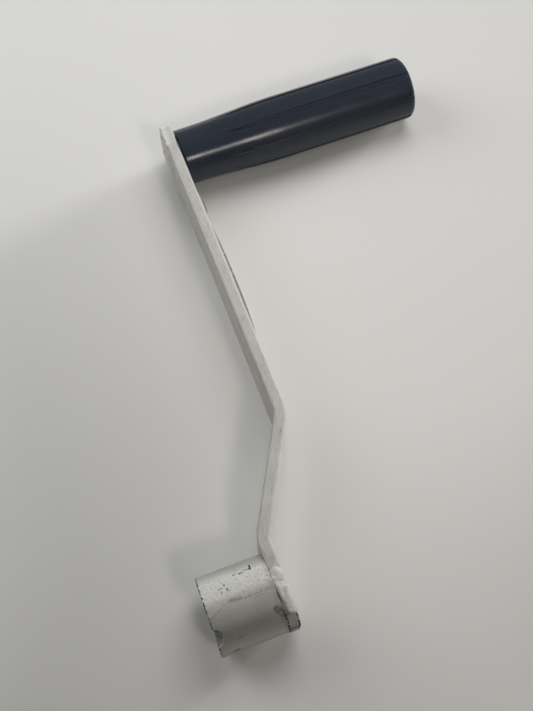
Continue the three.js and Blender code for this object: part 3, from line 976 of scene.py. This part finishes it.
def build_camera():
    data = bpy.data.cameras.new("camera")
    data.lens = CAMERA_LENS
    data.sensor_width = 36
    data.clip_start = 0.01
    camera = bpy.data.objects.new("camera", data)
    bpy.context.scene.collection.objects.link(camera)
    aim = (
        Matrix.Rotation(CAMERA_TURN, 4, "Z")
        @ Matrix.Rotation(CAMERA_TILT, 4, "X")
        @ Matrix.Rotation(CAMERA_ROLL, 4, "Z")
    )
    back = Matrix.Translation((0, 0, CAMERA_DISTANCE * MM))
    camera.matrix_world = Matrix.Translation(to_metres(CAMERA_TARGET)) @ aim @ back
    bpy.context.scene.camera = camera


ROOM_SEEN = 0.55
ROOM_MIRRORED = 0.36
ROOM_DIFFUSE = 0.006


def build_world():
    """A room that gives the gloss something soft to mirror, and leaves the lighting to the lamps."""
    world = bpy.data.worlds.new("room")
    world.use_nodes = True
    bpy.context.scene.world = world
    tree = world.node_tree
    rays = tree.nodes.new("ShaderNodeLightPath").outputs
    strength = None
    for kind, value in (("Is Camera Ray", ROOM_SEEN), ("Is Glossy Ray", ROOM_MIRRORED)):
        add = tree.nodes.new("ShaderNodeMath")
        add.operation = "MULTIPLY_ADD"
        tree.links.new(rays[kind], add.inputs[0])
        add.inputs[1].default_value = value - ROOM_DIFFUSE
        add.inputs[2].default_value = ROOM_DIFFUSE
        if strength:
            tree.links.new(strength, add.inputs[2])
        strength = add.outputs[0]
    background = tree.nodes["Background"]
    background.inputs["Color"].default_value = (1, 1, 0.99, 1)
    tree.links.new(strength, background.inputs["Strength"])


PALE = (1, 1, 0.985)

# A far window, as the direction towards it, its spread in degrees and its strength.
WINDOW = ((1.0, 0.2, 0.12), 20, 3.1)

# Soft discs, each as (name, place in metres, diameter, power in watts, colour). Only the lamp is
# mirrored by the gloss.
LIGHTS = (
    ("left_softbox", (-0.35, 0.35, 0.35), 0.45, 1.21, PALE),
    ("top_softbox", (0.20, 0.24, 0.52), 0.45, 1.37, PALE),
    ("front_softbox", (0.0, -0.65, 1.25), 0.9, 1.8, PALE),
    ("warm_lamp", (0.158, -0.88, 1.01), 0.26, 3.0, (1, 0.94, 0.86)),
)

# Dark boards that shade the socket's end, as someone who leans over it does: corners in metres.
BOARDS = {
    "standing_board": ((-0.43, -0.36, 0.1), (0.02, -0.53, 0.1), (0.02, -0.53, 1.2), (-0.43, -0.36, 1.2)),
    "side_board": ((0.35, -0.7, 0.0), (0.35, -0.04, 0.0), (0.35, -0.04, 0.3), (0.35, -0.7, 0.3)),
    "hanging_board": ((-0.22, -0.40, 0.44), (0.02, -0.40, 0.44), (0.02, -0.13, 0.44), (-0.20, -0.13, 0.44)),
}


def add_light(data, place):
    """Puts a light at a place in metres, aimed at the middle of the floor under the crank."""
    light = bpy.data.objects.new(data.name, data)
    bpy.context.scene.collection.objects.link(light)
    light.location = place
    light.rotation_euler = (-Vector(place)).to_track_quat("-Z", "Y").to_euler()
    light.visible_camera = False
    light.visible_glossy = data.name == "warm_lamp"


def build_lights():
    towards, spread, strength = WINDOW
    window = bpy.data.lights.new("window", "SUN")
    window.angle = math.radians(spread)
    window.energy = strength
    window.color = PALE
    add_light(window, towards)
    for name, place, diameter, power, colour in LIGHTS:
        data = bpy.data.lights.new(name, "AREA")
        data.shape = "DISK"
        data.size = diameter
        data.energy = power
        data.color = colour
        add_light(data, place)
    bpy.context.scene.view_settings.view_transform = "Standard"


def build_boards():
    shader = Shader("board_felt")
    shader.set(Base_Color=grey(0.03), Roughness=0.9)
    for name, corners in BOARDS.items():
        mesh = bpy.data.meshes.new(name)
        mesh.from_pydata(corners, [], [(0, 1, 2, 3)])
        mesh.materials.append(shader.material)
        board = bpy.data.objects.new(name, mesh)
        bpy.context.scene.collection.objects.link(board)
        board.visible_camera = False


# ---- The scene ----------------------------------------------------------------------------

arm_paint = paint("arm_paint", grey(0.595, 0.05), grey(0.545, 0.06), 0.42, along_bar=True)
socket_paint = paint("socket_paint", grey(0.58, 0.05), grey(0.52, 0.06), 0.42)
weld_paint = paint("weld_paint", grey(0.61, 0.04), grey(0.56, 0.05), 0.36)

build_camera()
build_floor()
build_world()
build_lights()
build_boards()
build_arm(arm_paint)
build_socket(socket_paint)
build_socket_weld(1, "socket_weld_upper_bead", "socket_weld_upper", weld_paint)
build_socket_weld(-1, "socket_weld_lower_bead", "socket_weld_lower", weld_paint)
build_spindle_weld(weld_paint)
build_grip(grip_plastic())
build_end_cap(cap_plastic())
finish_hardware()

bpy.context.view_layer.update()
